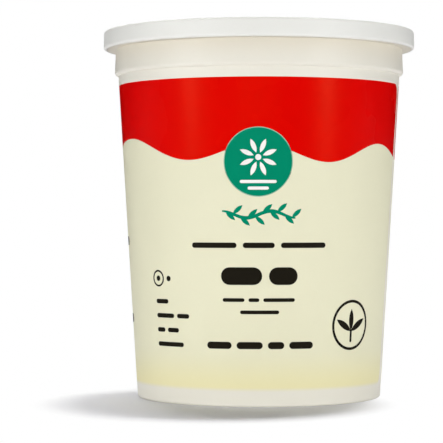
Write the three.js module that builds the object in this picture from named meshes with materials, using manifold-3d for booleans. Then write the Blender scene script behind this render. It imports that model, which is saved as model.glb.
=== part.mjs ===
import * as THREE from "three";
import { mergeVertices } from "three/addons/utils/BufferGeometryUtils.js";
import Module from "manifold-3d";

// A shut yogurt pot: a tapered round tub, its press-on lid, and the label moulded into its wall.
// Lengths are millimetres and +Z is up. The origin is the centre of the base, at the ground.
// The front of the label faces -Y.

// Whole pot
const AROUND = 96; // flats in a full turn
const FIT_GAP = 0.3; // clearance where two pieces touch
const LID_TOP_Z = 136;
const LID_SKIRT_R = 58;

// Tub
const WALL_BASE_R = 45.26; // the tapered wall carried down to the ground
const WALL_TAPER = 0.0604; // gain in radius for each millimetre of height
const BASE_CORNER_ROUND = 1;
const FOOT_INNER_R = 41.5; // inside edge of the flat ring the pot stands on
const FOOT_ROUND = 0.8;
const BASE_RECESS_Z = 2; // raised underside inside that ring
const BAND_R = 52.45; // bare upright band above the label
const BAND_BOTTOM_Z = 116.4;
const COLLAR_BOTTOM_Z = 119.6;
const COLLAR_R = 53.9; // stacking collar, with a well rounded lower edge
const COLLAR_ROUND = 1.35;
const NECK_R = 53.5; // the collar is a little narrower under the lid
const FLANGE_R = 56.4; // rolled rim that the lid grips
const FLANGE_BOTTOM_Z = 129.65;
const FLANGE_TOP_Z = 133.7;
const FLANGE_INNER_R = 53.9;
const FLANGE_LOWER_ROUND = 0.4;
const FLANGE_UPPER_ROUND = 0.8;
const CONTENTS_TOP_Z = 131.9; // the pot is shut, so it is solid up to here

// Lid
const LID_EDGE_R = 57.9; // top of the slightly flared skirt
const SKIRT_BOTTOM_Z = 129.35;
const SKIRT_THICKNESS = 1.3;
const SKIRT_ROUND = 0.9;
const LID_EDGE_ROUND = 0.9;
const RIM_INNER_R = 52.7; // inside edge of the raised rim
const PANEL_R = 52.1; // foot of the raised rim's inner side
const RIM_INNER_ROUND = 0.6;
const PANEL_Z = 133.4;
const PANEL_THICKNESS = 1.2;
const PANEL_STEP_R = 40.5; // the middle of the panel lies a little lower
const PANEL_STEP = 0.5;
const GATE_R = 2.5; // moulding mark in the middle
const GATE_DEPTH = 0.25;

// Label
const LABEL_BOTTOM_Z = 5.5;
const LABEL_TOP_Z = 115.8;
const LABEL_THICKNESS = 0.5;
const LABEL_CORNER_ROUND = 4.5;
const SEAM_ANGLE = 79.7; // degrees from the front, towards +X
const SEAM_TOP_GAP = 3; // bare wall between the label's two ends, wider towards the base
const SEAM_BOTTOM_GAP = 6;

const wasm = await Module();
wasm.setup();

const wallRadius = (z) => WALL_BASE_R + WALL_TAPER * z;

// The points of an outline through the corners [r, z, radius]. A corner with a radius is rounded.
function outline(corners) {
  const stepsPerMillimetre = 3;
  const points = [];
  corners.forEach(([r, z, radius = 0], i) => {
    const corner = new THREE.Vector2(r, z);
    if (radius === 0) {
      points.push(corner);
      return;
    }
    const back = new THREE.Vector2(...corners[i - 1]).sub(corner).normalize();
    const onward = new THREE.Vector2(...corners[i + 1]).sub(corner).normalize();
    const half = Math.acos(back.dot(onward)) / 2;
    const centre = back.clone().add(onward).normalize();
    centre.multiplyScalar(radius / Math.sin(half)).add(corner);
    const start = corner.clone().addScaledVector(back, radius / Math.tan(half)).sub(centre);
    const turn = -Math.sign(back.cross(onward)) * (Math.PI - 2 * half);
    const origin = new THREE.Vector2();
    const arcSteps = Math.ceil(radius * stepsPerMillimetre);
    for (let k = 0; k <= arcSteps; k++) {
      points.push(start.clone().rotateAround(origin, (turn * k) / arcSteps).add(centre));
    }
  });
  return points;
}

// The ring or cap that an outline of radius and height sweeps in a full turn about Z.
function turned(corners) {
  return new THREE.LatheGeometry(outline(corners), AROUND).rotateX(Math.PI / 2);
}

function solidOf(geometry) {
  const bare = geometry.clone();
  bare.deleteAttribute("normal");
  bare.deleteAttribute("uv");
  const merged = mergeVertices(bare, 1e-4);
  return new wasm.Manifold(
    new wasm.Mesh({
      numProp: 3,
      vertProperties: merged.attributes.position.array,
      triVerts: new Uint32Array(merged.index.array),
    }),
  );
}

function geometryOf(solid) {
  const mesh = solid.getMesh();
  return new THREE.BufferGeometry()
    .setAttribute("position", new THREE.BufferAttribute(mesh.vertProperties, 3))
    .setIndex(new THREE.BufferAttribute(mesh.triVerts, 1));
}

// A band that follows the wall, from inset below its surface to proud above it.
function wallBand(bottom, top, inset, proud) {
  return turned([
    [wallRadius(bottom) - inset, bottom],
    [wallRadius(bottom) + proud, bottom],
    [wallRadius(top) + proud, top],
    [wallRadius(top) - inset, top],
    [wallRadius(bottom) - inset, bottom],
  ]);
}

// The upright bar of bare wall between the label's ends, drawn in by margin on every side.
// It flares at its bottom and top, where the label's corners are rounded.
function seamBar(margin) {
  const beyond = 2;
  const round = LABEL_CORNER_ROUND;
  const bottom = LABEL_BOTTOM_Z - margin;
  const top = LABEL_TOP_Z + margin;
  const bottomFlare = SEAM_BOTTOM_GAP / 2 - margin + round;
  const topFlare = SEAM_TOP_GAP / 2 - margin + round;
  const bar = new THREE.Shape();
  bar.moveTo(-bottomFlare, bottom - beyond);
  bar.lineTo(bottomFlare, bottom - beyond);
  bar.lineTo(bottomFlare, bottom);
  bar.absarc(bottomFlare, bottom + round, round, -Math.PI / 2, -Math.PI, true);
  bar.absarc(topFlare, top - round, round, Math.PI, Math.PI / 2, true);
  bar.lineTo(topFlare, top + beyond);
  bar.lineTo(-topFlare, top + beyond);
  bar.lineTo(-topFlare, top);
  bar.absarc(-topFlare, top - round, round, Math.PI / 2, 0, true);
  bar.absarc(-bottomFlare, bottom + round, round, 0, -Math.PI / 2, true);
  bar.closePath();

  const start = WALL_BASE_R - 5;
  const depth = LID_SKIRT_R - start;
  const angle = THREE.MathUtils.degToRad(SEAM_ANGLE);
  const across = new THREE.Vector3(Math.cos(angle), Math.sin(angle), 0);
  const up = new THREE.Vector3(0, 0, 1);
  const outward = new THREE.Vector3(Math.sin(angle), -Math.cos(angle), 0);
  return new THREE.ExtrudeGeometry(bar, { depth, bevelEnabled: false, curveSegments: 5 })
    .translate(0, 0, start)
    .applyMatrix4(new THREE.Matrix4().makeBasis(across, up, outward));
}

function makeLabel() {
  const band = solidOf(wallBand(LABEL_BOTTOM_Z, LABEL_TOP_Z, LABEL_THICKNESS, 0));
  return geometryOf(band.subtract(solidOf(seamBar(0))));
}

// The tub's wall is let in by the label's thickness, so that the two lie flush.
function makeTub() {
  const body = turned([
    [0, BASE_RECESS_Z],
    [FOOT_INNER_R - FOOT_ROUND, BASE_RECESS_Z, FOOT_ROUND],
    [FOOT_INNER_R, 0],
    [WALL_BASE_R, 0, BASE_CORNER_ROUND],
    [wallRadius(LABEL_TOP_Z), LABEL_TOP_Z],
    [BAND_R, BAND_BOTTOM_Z],
    [BAND_R, COLLAR_BOTTOM_Z],
    [COLLAR_R, COLLAR_BOTTOM_Z, COLLAR_ROUND],
    [NECK_R, FLANGE_BOTTOM_Z],
    [FLANGE_R, FLANGE_BOTTOM_Z, FLANGE_LOWER_ROUND],
    [FLANGE_R, FLANGE_TOP_Z, FLANGE_UPPER_ROUND],
    [FLANGE_INNER_R, FLANGE_TOP_Z],
    [FLANGE_INNER_R, CONTENTS_TOP_Z],
    [0, CONTENTS_TOP_Z],
  ]);
  const depth = LABEL_THICKNESS + FIT_GAP;
  const beyond = 2;
  const opening = solidOf(
    wallBand(LABEL_BOTTOM_Z - FIT_GAP, LABEL_TOP_Z + FIT_GAP, depth, beyond),
  );
  const pocket = opening.subtract(solidOf(seamBar(FIT_GAP)));
  return geometryOf(solidOf(body).subtract(pocket));
}

function makeLid() {
  const panelUnder = PANEL_Z - PANEL_THICKNESS;
  const rimInside = FLANGE_INNER_R - FIT_GAP;
  const rimUnder = FLANGE_TOP_Z + FIT_GAP;
  const skirtInner = LID_SKIRT_R - SKIRT_THICKNESS;
  const panelLow = PANEL_Z - PANEL_STEP;
  return turned([
    [0, panelUnder],
    [rimInside, panelUnder],
    [rimInside, rimUnder],
    [skirtInner, rimUnder],
    [skirtInner, SKIRT_BOTTOM_Z],
    [LID_SKIRT_R, SKIRT_BOTTOM_Z, SKIRT_ROUND],
    [LID_EDGE_R, LID_TOP_Z, LID_EDGE_ROUND],
    [RIM_INNER_R, LID_TOP_Z, RIM_INNER_ROUND],
    [PANEL_R, PANEL_Z, RIM_INNER_ROUND],
    [PANEL_STEP_R + PANEL_STEP, PANEL_Z],
    [PANEL_STEP_R, panelLow],
    [GATE_R + GATE_DEPTH, panelLow],
    [GATE_R, panelLow - GATE_DEPTH],
    [0, panelLow - GATE_DEPTH],
  ]);
}

function piece(name, geometry, color, roughness) {
  const material = new THREE.MeshStandardMaterial({ color, roughness, metalness: 0 });
  const mesh = new THREE.Mesh(geometry, material);
  mesh.name = name;
  return mesh;
}

const pot = new THREE.Group();
pot.add(
  piece("tub", makeTub(), 0xe6dfcd, 0.45),
  piece("lid", makeLid(), 0xeceae2, 0.5),
  piece("label", makeLabel(), 0xe9e6ca, 0.4),
);

export default pot;
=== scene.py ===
import math
import random

import bmesh
import bpy
from mathutils import Matrix, Vector


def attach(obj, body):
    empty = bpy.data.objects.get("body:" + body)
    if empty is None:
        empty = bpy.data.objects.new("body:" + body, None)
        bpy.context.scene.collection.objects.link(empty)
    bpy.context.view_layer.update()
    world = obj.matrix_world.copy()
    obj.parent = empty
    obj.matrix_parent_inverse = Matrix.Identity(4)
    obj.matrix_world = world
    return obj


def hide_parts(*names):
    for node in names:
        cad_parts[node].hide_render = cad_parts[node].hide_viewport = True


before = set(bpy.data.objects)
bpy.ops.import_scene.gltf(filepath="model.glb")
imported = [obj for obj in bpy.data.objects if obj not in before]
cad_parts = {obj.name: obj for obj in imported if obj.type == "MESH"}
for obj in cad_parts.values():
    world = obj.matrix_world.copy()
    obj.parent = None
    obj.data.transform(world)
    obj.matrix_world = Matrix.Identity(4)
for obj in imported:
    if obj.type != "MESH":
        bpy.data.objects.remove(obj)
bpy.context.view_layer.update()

# A shut yogurt pot on a white table: the tub, its press-on lid and the printed film on its wall.
# Shapes are worked in millimetres about the pot's axis, with +Z up and the front facing -Y,
# and each finished piece is brought to metres.

MM = 0.001
AROUND = 256  # steps in a full turn
FIT_GAP = 0.3  # between the lid and the tub's rim

# Tub
WALL_BASE_R = 45.26
WALL_TAPER = 0.0604
BASE_CORNER_ROUND = 1
FOOT_INNER_R = 41.5
FOOT_LEAN = 0.8  # how far the recess in the underside narrows towards its top
FOOT_ROUND = 0.6
BASE_RECESS_Z = 2
BAND_R = 52.45
BAND_BOTTOM_Z = 116.4
COLLAR_BOTTOM_Z = 119.6
COLLAR_R = 53.9
COLLAR_ROUND = 1.35
NECK_R = 53.5
FLANGE_R = 57.1  # the rolled rim meets the lid's skirt
FLANGE_BOTTOM_Z = 129.35
FLANGE_TOP_Z = 133.7
FLANGE_INNER_R = 53.9
FLANGE_LOWER_ROUND = 0.2
FLANGE_UPPER_ROUND = 0.8
CONTENTS_TOP_Z = 131.9

# Lid
LID_TOP_Z = 136
LID_SKIRT_R = 58
LID_EDGE_R = 57.9
LID_EDGE_ROUND = 0.9
SKIRT_BOTTOM_Z = 129.35
SKIRT_INNER_R = 56.7
SKIRT_ROUND = 0.9
RIM_UNDER_Z = 134
RIM_INNER_R = 52.7
RIM_INNER_ROUND = 0.6
PANEL_R = 52.1
PANEL_Z = 133.4
PANEL_UNDER_Z = 132.2
PANEL_STEP_R = 40.5
PANEL_STEP = 0.5
PANEL_STEP_ROUND = 0.25
GATE_R = 2.5
GATE_DEPTH = 0.25

# Label
LABEL_BOTTOM_Z = 5.5
LABEL_TOP_Z = 115.8
LABEL_CORNER_ROUND = 4.5
SEAM_ANGLE = 79.7
SEAM_TOP_GAP = 3
SEAM_BOTTOM_GAP = 6
FILM_PROUD = 0.05
FILM_SUNK = 0.05
# The crests and troughs of the edge between the red field and the cream one.
# Each is its angle from the front in degrees and its height.
WAVE = [
    (-302.2, 93.3), (-276, 88.3), (-238, 93.5), (-205, 87), (-172, 92.5), (-138, 87.5), (-104, 90.5),
    (-64.5, 95.4), (-28.8, 87), (0, 92.8), (29, 86.2), (57.8, 93.3), (84, 88.3),
]


def wall_radius(z):
    return WALL_BASE_R + WALL_TAPER * z


# Making shapes


def with_support(corners):
    """Add a point close to each end of every long run of an outline, so that the run shades as flat."""
    near = 0.2
    points = [corners[0][:2]]
    for a, b in zip(corners, corners[1:]):
        start, end = Vector(a[:2]), Vector(b[:2])
        run = end - start
        length = run.length
        inset_a = near + (a[2] if len(a) > 2 else 0)
        inset_b = near + (b[2] if len(b) > 2 else 0)
        if length > 2 * (inset_a + inset_b):
            points.append(tuple(start + run * (inset_a / length)))
            points.append(tuple(end - run * (inset_b / length)))
        points.append(b[:2])
    return points


def turned(corners):
    """Spin an outline of radius and height about the axis, and round each ring that has a radius."""
    bm = bmesh.new()
    verts = [bm.verts.new((r, 0, z)) for r, z in with_support(corners)]
    edges = [bm.edges.new(pair) for pair in zip(verts, verts[1:])]
    bmesh.ops.spin(
        bm,
        geom=verts + edges,
        cent=(0, 0, 0),
        axis=(0, 0, 1),
        angle=2 * math.pi,
        steps=AROUND,
        use_merge=True,
    )
    bmesh.ops.remove_doubles(bm, verts=bm.verts, dist=1e-4)
    for corner in corners:
        if len(corner) > 2:
            r, z, radius = corner
            bmesh.ops.bevel(
                bm,
                geom=[edge for edge in bm.edges if all(on_ring(v, r, z) for v in edge.verts)],
                offset=radius,
                offset_type="OFFSET",
                affect="EDGES",
                segments=max(3, round(5 * radius)),
                profile=0.5,
                material=-1,
            )
    bmesh.ops.recalc_face_normals(bm, faces=bm.faces)
    return bm


def on_ring(vert, r, z):
    return abs(vert.co.z - z) < 0.01 and abs(vert.co.xy.length - r) < 0.01


def finished(name, bm, materials, nodes=()):
    """Make a piece of the pot from a shape in millimetres."""
    bmesh.ops.scale(bm, vec=(MM, MM, MM), verts=bm.verts)
    mesh = bpy.data.meshes.new(name)
    bm.to_mesh(mesh)
    bm.free()
    mesh.shade_smooth()
    mesh.set_sharp_from_angle(angle=math.radians(35))
    for material in materials:
        mesh.materials.append(material)
    piece = bpy.data.objects.new(name, mesh)
    bpy.context.scene.collection.objects.link(piece)
    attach(piece, "root")
    if nodes:
        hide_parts(*nodes)
    return piece


# Flat print, laid out with x along the wall, y up it and z out of it


def everything(bm):
    return bm.verts[:] + bm.edges[:] + bm.faces[:]


def cut_in_columns(bm, width=1.2):
    """Cut a flat shape into upright columns, narrow enough to follow the round wall."""
    low = min(v.co.x for v in bm.verts)
    high = max(v.co.x for v in bm.verts)
    count = math.ceil((high - low) / width)
    for i in range(1, count):
        x = low + (high - low) * i / count
        bmesh.ops.bisect_plane(
            bm, geom=everything(bm), dist=1e-5, plane_co=(x, 0, 0), plane_no=(1, 0, 0)
        )


def thickened(bm, low, high):
    """Give a flat shape a thickness, from low to high."""
    bmesh.ops.recalc_face_normals(bm, faces=bm.faces)
    if sum(f.normal.z * f.calc_area() for f in bm.faces) < 0:
        bmesh.ops.reverse_faces(bm, faces=bm.faces)
    bmesh.ops.translate(bm, vec=(0, 0, high), verts=bm.verts)
    under = bmesh.ops.duplicate(bm, geom=everything(bm))["geom"]
    under_faces = [g for g in under if isinstance(g, bmesh.types.BMFace)]
    under_verts = [g for g in under if isinstance(g, bmesh.types.BMVert)]
    bmesh.ops.translate(bm, vec=(0, 0, low - high), verts=under_verts)
    bmesh.ops.reverse_faces(bm, faces=under_faces)
    rim = [edge for edge in bm.edges if edge.is_boundary]
    bmesh.ops.bridge_loops(bm, edges=rim)


def wrap(bm, angle, height):
    """Bend a flat shape round the wall, with its origin at this angle from the front and this height."""
    around = wall_radius(height)
    for v in bm.verts:
        turn = math.radians(angle) + v.co.x / around
        z = height + v.co.y
        r = wall_radius(z) + v.co.z
        v.co = (r * math.sin(turn), -r * math.cos(turn), z)


def disc(radius, segments=48):
    bm = bmesh.new()
    bmesh.ops.create_circle(bm, cap_ends=True, segments=segments, radius=radius)
    return bm


def hollow(bm, width):
    """Leave only the rim of a flat shape, this wide."""
    bmesh.ops.inset_region(
        bm, faces=bm.faces[:], thickness=width, use_boundary=True, use_even_offset=True
    )
    middle = max(bm.faces, key=lambda face: face.calc_area())
    bmesh.ops.delete(bm, geom=[middle], context="FACES")
    return bm


def ring(radius, width, segments=64):
    return hollow(disc(radius, segments), width)


def bar(width, height, rounding=None):
    """An upright or level bar with rounded corners."""
    bm = bmesh.new()
    bmesh.ops.create_grid(bm, x_segments=1, y_segments=1, size=0.5)
    bmesh.ops.scale(bm, vec=(width, height, 1), verts=bm.verts)
    rounding = min(width, height) / 2 * 0.98 if rounding is None else rounding
    bmesh.ops.bevel(
        bm, geom=bm.verts[:], offset=rounding, affect="VERTICES", segments=5, profile=0.5, material=-1
    )
    return bm


def leaf(length, width):
    """A leaf that grows from the origin along +x, pointed at both ends."""
    bm = bmesh.new()
    bmesh.ops.create_circle(bm, cap_ends=True, segments=4, radius=0.5)
    bmesh.ops.scale(bm, vec=(length, width, 1), verts=bm.verts)
    sides = [v for v in bm.verts if abs(v.co.y) > abs(v.co.x)]
    bmesh.ops.bevel(
        bm, geom=sides, offset=length * 0.42, affect="VERTICES", segments=8, profile=0.5, material=-1
    )
    bmesh.ops.translate(bm, vec=(length / 2, 0, 0), verts=bm.verts)
    return bm


def stroke(length, width, swing, waves):
    """A level line that waves up and down, and thins towards its ends."""
    end_thinning = 0.6
    bm = bmesh.new()
    bmesh.ops.create_grid(bm, x_segments=40, y_segments=1, size=0.5)
    for v in bm.verts:
        across = v.co.x
        thickness = width * (1 - end_thinning * (2 * across) ** 4)
        v.co.x *= length
        v.co.y = v.co.y * thickness + swing * math.sin(2 * math.pi * waves * across)
    return bm


class Print:
    """One colour of ink, gathered shape by shape."""

    def __init__(self, low, high):
        self.low = low
        self.high = high
        self.bm = bmesh.new()

    def lay(self, shape, angle, height, across=0, up=0, turn=0):
        """Lay a flat shape on the wall, turned and moved from the origin at this angle and height."""
        place = Matrix.Translation((across, up, 0)) @ Matrix.Rotation(math.radians(turn), 4, "Z")
        bmesh.ops.transform(shape, matrix=place, verts=shape.verts)
        cut_in_columns(shape)
        thickened(shape, self.low, self.high)
        wrap(shape, angle, height)
        part = bpy.data.meshes.new("part")
        shape.to_mesh(part)
        shape.free()
        self.bm.from_mesh(part)
        bpy.data.meshes.remove(part)

    def finish(self, name, material):
        return finished(name, self.bm, [material])


# Finishes


class Value:
    """A shader socket that takes part in sums."""

    def __init__(self, finish, socket):
        self.finish = finish
        self.socket = socket

    def sum(self, operation, *values):
        return self.finish.node("ShaderNodeMath", {"operation": operation}, dict(enumerate(values)))

    def __add__(self, other):
        return self.sum("ADD", self, other)

    def __sub__(self, other):
        return self.sum("SUBTRACT", self, other)

    def __rsub__(self, other):
        return self.sum("SUBTRACT", other, self)

    def __mul__(self, other):
        return self.sum("MULTIPLY", self, other)

    __radd__ = __add__
    __rmul__ = __mul__

    def between(self, low, high):
        """Rise smoothly from 0 at low to 1 at high."""
        settings = {"interpolation_type": "SMOOTHSTEP"}
        return self.finish.node(
            "ShaderNodeMapRange", settings, {"Value": self, "From Min": low, "From Max": high}
        )


class Finish:
    """A material's nodes, or the world's."""

    def __init__(self, owner):
        owner.use_nodes = True
        self.tree = owner.node_tree
        self.tree.nodes.clear()

    def node(self, kind, settings=None, sockets=None, output=0):
        node = self.tree.nodes.new(kind)
        for key, value in (settings or {}).items():
            setattr(node, key, value)
        for key, value in (sockets or {}).items():
            socket = node.inputs[key]
            if isinstance(value, Value):
                self.tree.links.new(value.socket, socket)
            else:
                socket.default_value = value
        return Value(self, node.outputs[output]) if len(node.outputs) else None

    def place(self):
        return self.node("ShaderNodeTexCoord", output="Object")

    def height(self):
        return self.node("ShaderNodeSeparateXYZ", {}, {"Vector": self.place()}, output="Z")

    def stretched(self, stretch):
        sockets = {"Vector": self.place(), "Scale": stretch}
        return self.node("ShaderNodeMapping", {"vector_type": "POINT"}, sockets)

    def noise(self, scale, detail, stretch=(1, 1, 1)):
        sockets = {"Vector": self.stretched(stretch), "Scale": scale, "Detail": detail}
        return self.node("ShaderNodeTexNoise", {}, sockets)

    def mix(self, share, a, b):
        """Blend two colours."""
        node = self.tree.nodes.new("ShaderNodeMix")
        node.data_type = "RGBA"
        for index, value in ((0, share), (6, a), (7, b)):
            if isinstance(value, Value):
                self.tree.links.new(value.socket, node.inputs[index])
            else:
                node.inputs[index].default_value = value
        return Value(self, node.outputs[2])

    def bump(self, height, distance):
        sockets = {"Height": height, "Distance": distance, "Strength": 1.0}
        return self.node("ShaderNodeBump", {}, sockets)

    def surface(self, **sockets):
        values = {key.replace("_", " "): value for key, value in sockets.items()}
        shader = self.node("ShaderNodeBsdfPrincipled", {}, values)
        self.node("ShaderNodeOutputMaterial", {}, {"Surface": shader})


PLASTIC_IOR = 1.49
PAINTED_SHADE_UNDER_LID_Z = (0.119, 0.1305)  # heights in metres between which the tub's colour turns to a painted shade, darker and warmer, under the lid
LOW_FADE = (0.006, 0.021)  # the cream gets yellower downwards between these heights
FOOT_FADE = (0.0053, 0.0071)  # the print gives way to bare film between these


def shade(colour, amount=1):
    return tuple(channel * amount for channel in colour) + (1,)


def moulded(name, colour, roughness, mottle, grain, painted_shade_under_lid=None):
    """Moulded plastic, with faint clouding from the melt, fine turning marks and scuffs, and on the tub
    a painted shade, darker and warmer, just under the lid.
    """
    material = bpy.data.materials.new(name)
    finish = Finish(material)
    cloud = finish.noise(22, 3, (1, 1, 0.5))
    skin = finish.noise(900, 2)
    turning = finish.noise(2600, 1, (0.02, 0.02, 1))
    scuff = finish.noise(160, 4, (1, 1, 0.3)).between(0.58, 0.75)
    dust = finish.noise(1900, 1).between(0.74, 0.8)
    plastic = finish.mix(cloud, shade(colour, 1 - mottle), shade(colour, 1 + mottle))
    # painted shade: towards the lid the tub's colour turns darker and warmer, where the lid's skirt
    # shades it
    if painted_shade_under_lid:
        plastic = finish.mix(finish.height().between(*PAINTED_SHADE_UNDER_LID_Z), plastic, shade(painted_shade_under_lid))
    finish.surface(
        Base_Color=finish.mix(0.25 * dust, plastic, shade(colour, 0.8)),
        Roughness=roughness + 0.06 * cloud + 0.1 * scuff,
        Normal=finish.bump(skin + 0.3 * turning + 0.2 * scuff, grain),
        IOR=PLASTIC_IOR,
        Specular_IOR_Level=0.14,
        Sheen_Weight=0.06,
        Sheen_Roughness=0.4,
    )
    return material


def printed(name, colour, low_colour=None, gloss=0.02, highlight=(1, 1, 1), roughness=0.36):
    """Printed film with slightly uneven ink. A low colour fades in towards the foot."""
    ink_unevenness = 0.02
    ripple_height = 0.000012
    material = bpy.data.materials.new(name)
    finish = Finish(material)
    cloud = finish.noise(35, 3)
    speckle = finish.noise(2200, 2).between(0.3, 0.7)
    thin, full = shade(colour, 1 - ink_unevenness), shade(colour, 1 + ink_unevenness)
    ink = finish.mix(0.7 * cloud + 0.3 * speckle, thin, full)
    if low_colour:
        ink = finish.mix(finish.height().between(*LOW_FADE), shade(low_colour), ink)
        ink = finish.mix(finish.height().between(*FOOT_FADE), shade(TUB_WHITE), ink)
    skin = finish.noise(1400, 2)
    ripple = finish.noise(120, 2, (1, 1, 0.4))
    finish.surface(
        Base_Color=ink,
        Roughness=roughness + 0.05 * cloud,
        Normal=finish.bump(skin + 4 * ripple, ripple_height),
        IOR=PLASTIC_IOR,
        Specular_IOR_Level=gloss,
        Specular_Tint=shade(highlight),
    )
    return material


TUB_WHITE = (0.795, 0.77, 0.675)
# painted shade: the tub's darker, warmer colour just under the lid
TUB_PAINTED_SHADE_UNDER_LID = (0.715, 0.672, 0.562)
LID_WHITE = (0.815, 0.815, 0.765)
CREAM = (0.785, 0.767, 0.562)
LOW_CREAM = (0.825, 0.775, 0.465)
RED = (0.70, 0.0002, 0.0002)
WARM_HIGHLIGHT = (1, 0.28, 0.05)
GREEN = (0.0, 0.24, 0.13)
PALE_GREEN = (0.25, 0.5, 0.36)
DARK = (0.012, 0.010, 0.006)
WHITE_INK = (0.86, 0.86, 0.82)

# the tub carries a painted shade just under its lid
tub_plastic = moulded(
    "tub plastic", TUB_WHITE, roughness=0.42, mottle=0.012, grain=0.00002, painted_shade_under_lid=TUB_PAINTED_SHADE_UNDER_LID
)
lid_plastic = moulded("lid plastic", LID_WHITE, roughness=0.46, mottle=0.01, grain=0.00003)
cream_print = printed("cream print", CREAM, LOW_CREAM)
red_print = printed("red print", RED, gloss=0.09, highlight=WARM_HIGHLIGHT, roughness=0.25)
green_print = printed("green print", GREEN)
pale_green_print = printed("pale green print", PALE_GREEN)
dark_print = printed("dark print", DARK)
white_print = printed("white print", WHITE_INK)


# The tub and the lid


def make_tub():
    bm = turned([
        (0, BASE_RECESS_Z),
        (FOOT_INNER_R - FOOT_LEAN, BASE_RECESS_Z, FOOT_ROUND),
        (FOOT_INNER_R, 0),
        (WALL_BASE_R, 0, BASE_CORNER_ROUND),
        (wall_radius(LABEL_TOP_Z), LABEL_TOP_Z),
        (BAND_R, BAND_BOTTOM_Z),
        (BAND_R, COLLAR_BOTTOM_Z),
        (COLLAR_R, COLLAR_BOTTOM_Z, COLLAR_ROUND),
        (NECK_R, FLANGE_BOTTOM_Z),
        (FLANGE_R, FLANGE_BOTTOM_Z, FLANGE_LOWER_ROUND),
        (FLANGE_R, FLANGE_TOP_Z, FLANGE_UPPER_ROUND),
        (FLANGE_INNER_R, FLANGE_TOP_Z),
        (FLANGE_INNER_R, CONTENTS_TOP_Z),
        (0, CONTENTS_TOP_Z),
    ])
    finished("tub_shell", bm, [tub_plastic], ["tub"])


def make_lid():
    low = PANEL_Z - PANEL_STEP
    bm = turned([
        (0, PANEL_UNDER_Z),
        (FLANGE_INNER_R - FIT_GAP, PANEL_UNDER_Z),
        (FLANGE_INNER_R - FIT_GAP, RIM_UNDER_Z),
        (SKIRT_INNER_R, RIM_UNDER_Z),
        (SKIRT_INNER_R, SKIRT_BOTTOM_Z),
        (LID_SKIRT_R, SKIRT_BOTTOM_Z, SKIRT_ROUND),
        (LID_EDGE_R, LID_TOP_Z, LID_EDGE_ROUND),
        (RIM_INNER_R, LID_TOP_Z, RIM_INNER_ROUND),
        (PANEL_R, PANEL_Z, RIM_INNER_ROUND),
        (PANEL_STEP_R + PANEL_STEP, PANEL_Z, PANEL_STEP_ROUND),
        (PANEL_STEP_R, low, PANEL_STEP_ROUND),
        (GATE_R + GATE_DEPTH, low),
        (GATE_R, low - GATE_DEPTH),
        (0, low - GATE_DEPTH),
    ])
    finished("press_lid", bm, [lid_plastic], ["lid"])


make_tub()
make_lid()


# The film, with its two fields of colour


def wave_height(angle):
    """The height of the edge between the two fields at an angle from the front."""
    for (a, low), (b, high) in zip(WAVE, WAVE[1:]):
        if a <= angle <= b:
            return low + (high - low) * (1 - math.cos(math.pi * (angle - a) / (b - a))) / 2
    raise ValueError(angle)


def make_film():
    """The film, laid out flat, parted into its two fields along the wave, and wrapped round the wall."""
    middle = (LABEL_BOTTOM_Z + LABEL_TOP_Z) / 2
    around = wall_radius(middle)
    tall = 40  # every upright edge that crosses the wave is longer than this

    def end(z, gap, side):
        """How far along the flat film one of its ends lies, at the left or right side of the seam."""
        half = math.degrees(gap / 2 / wall_radius(z))
        return math.radians(SEAM_ANGLE - half if side > 0 else SEAM_ANGLE - 360 + half) * around

    bm = bmesh.new()
    bmesh.ops.create_grid(bm, x_segments=1, y_segments=1, size=0.5)
    for v in bm.verts:
        top = v.co.y > 0
        z, gap = (LABEL_TOP_Z, SEAM_TOP_GAP) if top else (LABEL_BOTTOM_Z, SEAM_BOTTOM_GAP)
        v.co = (end(z, gap, v.co.x), z - middle, 0)
    bmesh.ops.bevel(
        bm,
        geom=bm.verts[:],
        offset=LABEL_CORNER_ROUND,
        affect="VERTICES",
        segments=8,
        profile=0.5,
        material=-1,
    )
    cut_in_columns(bm)
    crossing = []
    for edge in bm.edges[:]:
        low, high = sorted(edge.verts, key=lambda v: v.co.y)
        if high.co.y - low.co.y > tall:
            x = (low.co.x + high.co.x) / 2
            wave = wave_height(math.degrees(x / around)) - middle
            share = (wave - low.co.y) / (high.co.y - low.co.y)
            crossing.append(bmesh.utils.edge_split(edge, low, share)[1])
    bmesh.ops.connect_verts(bm, verts=crossing)
    for face in bm.faces:
        centre = face.calc_center_median()
        wave = wave_height(math.degrees(centre.x / around)) - middle
        face.material_index = 1 if centre.y > wave else 0
    thickened(bm, -FILM_SUNK, FILM_PROUD)
    wrap(bm, 0, middle)
    finished("label_film", bm, [cream_print, red_print], ["label"])


make_film()


# The rest of the print

# How far out from the wall each layer of ink starts and ends
PATCH_LAYER = (FILM_PROUD - 0.02, FILM_PROUD + 0.01)
INK_LAYER = (FILM_PROUD - 0.02, FILM_PROUD + 0.03)
TOP_LAYER = (FILM_PROUD + 0.01, FILM_PROUD + 0.06)

green = Print(*INK_LAYER)
dark = Print(*INK_LAYER)
white = Print(*TOP_LAYER)
pale = Print(*TOP_LAYER)
patch = Print(*PATCH_LAYER)

BADGE_ANGLE = -0.2
BADGE_Z = 86.2
BADGE_R = 12.2


def make_badge():
    """A round badge with a flower over two bars."""
    green.lay(disc(BADGE_R, 96), BADGE_ANGLE, BADGE_Z)
    pale.lay(ring(BADGE_R, 0.3, 96), BADGE_ANGLE, BADGE_Z)
    petals = 8
    petal_start = 1.7
    flower_up = 1.6
    for i in range(petals):
        turn = 360 / petals * (i + 0.5)
        out = Vector((math.cos(math.radians(turn)), math.sin(math.radians(turn)))) * petal_start
        white.lay(leaf(5.2, 2.9), BADGE_ANGLE, BADGE_Z, out.x, flower_up + out.y, turn)
    white.lay(disc(1.05, 24), BADGE_ANGLE, BADGE_Z, 0, flower_up)
    white.lay(bar(13, 1.1), BADGE_ANGLE, BADGE_Z, 0, -6.9)
    white.lay(bar(7.5, 1.1), BADGE_ANGLE, BADGE_Z, 0, -9.2)


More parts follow.
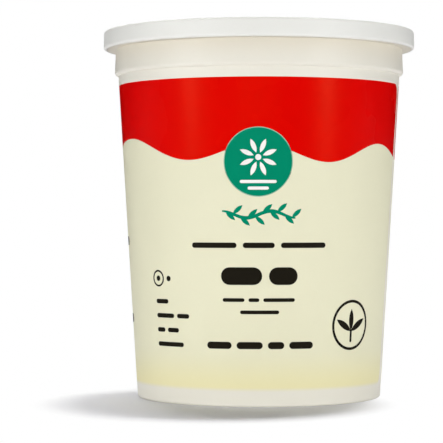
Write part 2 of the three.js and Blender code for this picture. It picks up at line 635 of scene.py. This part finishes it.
def make_sprig():
    """A waving stem with leaves to both sides."""
    z = 67.8
    length = 26
    waves = 1.5
    swing = 1.2
    green.lay(stroke(length, 1.3, swing, waves), 0, z)
    leaves = 10
    for i in range(leaves):
        across = 0.9 * (i / (leaves - 1) - 0.5)
        up = swing * math.sin(2 * math.pi * waves * across)
        lift = 42 if i % 2 else -42
        green.lay(leaf(4.6, 2.7), 0, z, across * length, up, lift)


def make_bars(ink, rows, angle, height):
    """Rows of level bars: each row is its height, its bars' thickness, and each bar's start and end."""
    for up, thick, *ends in rows:
        for start, end in ends:
            ink.lay(bar(end - start, thick), angle, height, (start + end) / 2, up)


def make_front():
    """Rows of plain bars on the front."""
    make_bars(dark, [(0, 1.9, (-24.5, -7.8), (-5.6, 5.6), (7.8, 24.5))], 0, 57)
    make_bars(dark, [(0, 6.2, (-13.4, 1.2), (3.6, 13.8))], 0, 46.2)
    make_bars(dark, [(0, 1.3, (-12.8, -5), (-3.6, 0.2), (1.6, 12.8)), (-4.3, 1.3, (-6.6, 7.2))], 0, 37.8)
    make_bars(dark, [(0, 2.5, (-18.6, -9.6), (-7.8, 1.4), (3.2, 9), (10.8, 19.6))], 0, 21.8)
    left = [
        (0, 1.6, (0, 6.4)),
        (-5.1, 1.6, (0, 9), (10.4, 15.8)),
        (-10.2, 1.6, (0, 4.2), (5.6, 11)),
        (-15.3, 1.6, (0, 13)),
    ]
    make_bars(dark, left, -50.5, 36.8)


def make_seals():
    """A ring with a dot at the left, and a ring with a sprout at the right."""
    dark.lay(ring(3, 0.65, 48), -48.5, 45)
    dark.lay(disc(1, 24), -48.5, 45)
    dark.lay(disc(1, 24), -48.5, 45, 5.4)
    dark.lay(ring(9, 1, 96), 44.5, 28.4)
    for turn, length in ((32, 8.2), (148, 8.2), (90, 8)):
        dark.lay(leaf(length, length * 0.5), 44.5, 28.4, 0, -2.2, turn)
    dark.lay(bar(1, 4.6), 44.5, 28.4, 0, -3.9)


def words(chance, width, shortest, longest, gap):
    """The starts and ends of a row of bars of mixed length."""
    ends = []
    start = 0
    while True:
        end = start + chance.uniform(shortest, longest)
        if end > width:
            return ends
        ends.append((start, end))
        start = end + gap


def make_small_print():
    """Lines of small bars on the left side, under two bold ones that just show from the front."""
    chance = random.Random(11)
    pitch = 2.7
    column = 34
    ragged = 7.5
    heading = 3.2
    right_end = -79
    for top, lines in ((58.2, 7), (29.6, 5)):
        left_end = right_end - math.degrees(column / wall_radius(top))
        make_bars(dark, [(0, heading, (column - 15, column))], left_end, top)
        rows = [(-4 - pitch * i, 1, *words(chance, column - ragged, 2.5, 6.5, 1)) for i in range(lines)]
        make_bars(dark, rows, left_end, top)


def make_table():
    """A ruled panel at the back, with a bar at each end of its lines."""
    chance = random.Random(5)
    angle = 184
    width = 36
    height = 56
    middle = 46
    lines = 11
    dark.lay(hollow(bar(width, height, 0.8), 0.5), angle, middle)
    inside = width / 2 - 2
    dark.lay(bar(width - 4, 2.6), angle, middle, 0, height / 2 - 4)
    for i in range(lines):
        up = height / 2 - 10 - 4 * i
        thick = 1 if i % 5 == 0 else 0.25
        dark.lay(bar(2 * inside, thick), angle, middle, 0, up + 2)
        entry = (-inside, -inside + chance.uniform(8, 19))
        figure = (inside - 4, inside)
        make_bars(dark, [(up, 1.1, entry, figure)], angle, middle)


def make_code():
    """A plain strip of upright bars on a white patch, under two leaves."""
    chance = random.Random(3)
    angle = 118
    middle = 30
    width = 27
    height = 15
    patch.lay(bar(width + 4, height + 3, 1), angle, middle)
    across = -width / 2
    while across < width / 2:
        thick = chance.choice((0.35, 0.35, 0.7, 1.05))
        dark.lay(bar(thick, height, 0.02), angle, middle, across)
        across += thick + chance.choice((0.4, 0.4, 0.8, 1.1))
    leaf_up = middle + height / 2 + 8
    green.lay(leaf(9, 4.4), angle, leaf_up, -5, -1, 24)
    green.lay(leaf(7, 3.4), angle, leaf_up, -4, -1, -12)


make_badge()
make_sprig()
make_front()
make_seals()
make_small_print()
make_table()
make_code()
green.finish("print_green", green_print)
dark.finish("print_dark", dark_print)
white.finish("print_white", white_print)
pale.finish("print_badge_edge", pale_green_print)
patch.finish("print_code_patch", white_print)


# The table and the room


def camera_ray(finish):
    """1 for what the camera sees directly, and 0 for light on its way."""
    return finish.node("ShaderNodeLightPath", output="Is Camera Ray")


def make_floor():
    """A white table. The lamps cast the pot's soft shadow to the front left; outside a painted ellipse
    round it the table glows plain white to the camera, a painted glow that fades the shadow out.
    """
    # painted shadow edge: the ellipse outside which the table's painted glow takes over
    painted_shadow_stretch = (1.1, 1, 1)
    painted_shadow_centre = (-0.0176, -0.03, 0)
    painted_shadow_inner = 0.049
    painted_shadow_outer = 0.073
    bm = bmesh.new()
    bmesh.ops.create_circle(bm, cap_ends=True, segments=96, radius=3)
    mesh = bpy.data.meshes.new("table")
    bm.to_mesh(mesh)
    bm.free()
    table = bpy.data.objects.new("table", mesh)
    bpy.context.scene.collection.objects.link(table)
    material = bpy.data.materials.new("white table")
    finish = Finish(material)
    place = finish.stretched(painted_shadow_stretch)
    distance = finish.node(
        "ShaderNodeVectorMath", {"operation": "DISTANCE"}, {0: place, 1: painted_shadow_centre}, output="Value"
    )
    # painted glow: outside this ellipse the camera sees the table glow white, which draws the shadow's
    # outer edge; inside it the lamps' cast shadow shows
    painted_glow_share = distance.between(painted_shadow_inner, painted_shadow_outer) * camera_ray(finish)
    paint = finish.node(
        "ShaderNodeBsdfPrincipled", {}, {"Base Color": (0.88, 0.885, 0.94, 1), "Roughness": 0.7}
    )
    # painted glow, seen only by the camera
    painted_glow = finish.node("ShaderNodeEmission", {}, {"Color": (1, 1, 1, 1), "Strength": 1})
    both = finish.node("ShaderNodeMixShader", {}, {0: painted_glow_share, 1: paint, 2: painted_glow})
    finish.node("ShaderNodeOutputMaterial", {}, {"Surface": both})
    mesh.materials.append(material)


def make_world():
    """White where the camera looks past the pot, and a dimmer wall of light in front of it."""
    white = (1, 1, 1, 1)
    world = bpy.data.worlds.new("studio")
    bpy.context.scene.world = world
    finish = Finish(world)
    direction = finish.node("ShaderNodeTexCoord", output="Generated")
    to_the_back = finish.node("ShaderNodeSeparateXYZ", {}, {"Vector": direction}, output="Y")
    front = (0 - to_the_back).between(0, 1)
    mirrored = finish.node("ShaderNodeLightPath", output="Is Glossy Ray")
    strength = 0.62 * front * (1 - mirrored)
    room = finish.node("ShaderNodeBackground", {}, {"Color": white, "Strength": strength})
    white_wall = finish.node("ShaderNodeBackground", {}, {"Color": white, "Strength": 1.0})
    both = finish.node("ShaderNodeMixShader", {}, {0: camera_ray(finish), 1: room, 2: white_wall})
    finish.node("ShaderNodeOutputWorld", {}, {"Surface": both})


def soft_light(name, place, target, width, height, power, only_mirrored=False):
    """A panel of light. It is either seen only in reflections or only lights the surfaces."""
    light = bpy.data.lights.new(name, "AREA")
    light.shape = "RECTANGLE"
    light.size = width
    light.size_y = height
    light.energy = power
    lamp = bpy.data.objects.new(name, light)
    lamp.location = place
    lamp.rotation_euler = (Vector(target) - Vector(place)).to_track_quat("-Z", "Y").to_euler()
    lamp.visible_camera = False
    lamp.visible_glossy = only_mirrored
    lamp.visible_diffuse = not only_mirrored
    bpy.context.scene.collection.objects.link(lamp)


def around_front(angle, distance, z):
    """A place at this angle from the front, seen from above, and this far from the pot's axis."""
    turn = math.radians(angle)
    return (distance * math.sin(turn), -distance * math.cos(turn), z)


def make_lights():
    above = 1.1
    for name, x, y, power in (
        ("overhead right", 0.2, 0.25, 2.9),
        ("overhead left", -0.1, 0.25, 4.8),
        ("overhead back", -0.3, 0.7, 3.6),
    ):
        soft_light(name, (x, y, above), (0, 0, 0), 0.3, 0.3, power)
    for name, angle, power in (("front wall", 0, 6), ("left wall", -90, 2.3)):
        soft_light(name, around_front(angle, 1.5, 0.12), (0, 0, 0.07), 1, 0.24, power)
    for name, angle, power in (("low right card", 90, 2.5), ("low left card", -30, 1.5)):
        soft_light(name, around_front(angle, 1, 0.03), (0, 0, 0.03), 0.5, 0.06, power)
    for name, angle, power in (
        ("right base card", 68, 0.009),
        ("front base card", -5, 0.006),
        ("left base card", -68, 0.004),
    ):
        soft_light(name, around_front(angle, 0.16, 0.01), (0, 0, 0.005), 0.12, 0.015, power)
    for name, angle in (("left strip", -56), ("right strip", 56)):
        place = around_front(angle, 1.4, 0.65)
        soft_light(name, place, (0, 0, 0.1), 0.16, 1.1, 34, only_mirrored=True)


def make_camera():
    """The photograph's lens, close to level with the middle of the pot."""
    image_width = 443
    focal_pixels = 1899
    axis_x = 258.75
    horizon_y = 220.9
    distance = 0.7125
    data = bpy.data.cameras.new("camera")
    data.sensor_width = 36
    data.lens = data.sensor_width * focal_pixels / image_width
    data.clip_start = 0.01
    camera = bpy.data.objects.new("camera", data)
    yaw = math.atan((axis_x - image_width / 2) / focal_pixels)
    pitch = math.atan((image_width / 2 - horizon_y) / focal_pixels)
    camera.location = (0, -distance, 0.06555)
    camera.rotation_euler = (math.pi / 2 - pitch, 0, yaw)
    bpy.context.scene.collection.objects.link(camera)
    bpy.context.scene.camera = camera


make_floor()
make_world()
make_lights()
make_camera()
bpy.context.scene.view_settings.view_transform = "Standard"
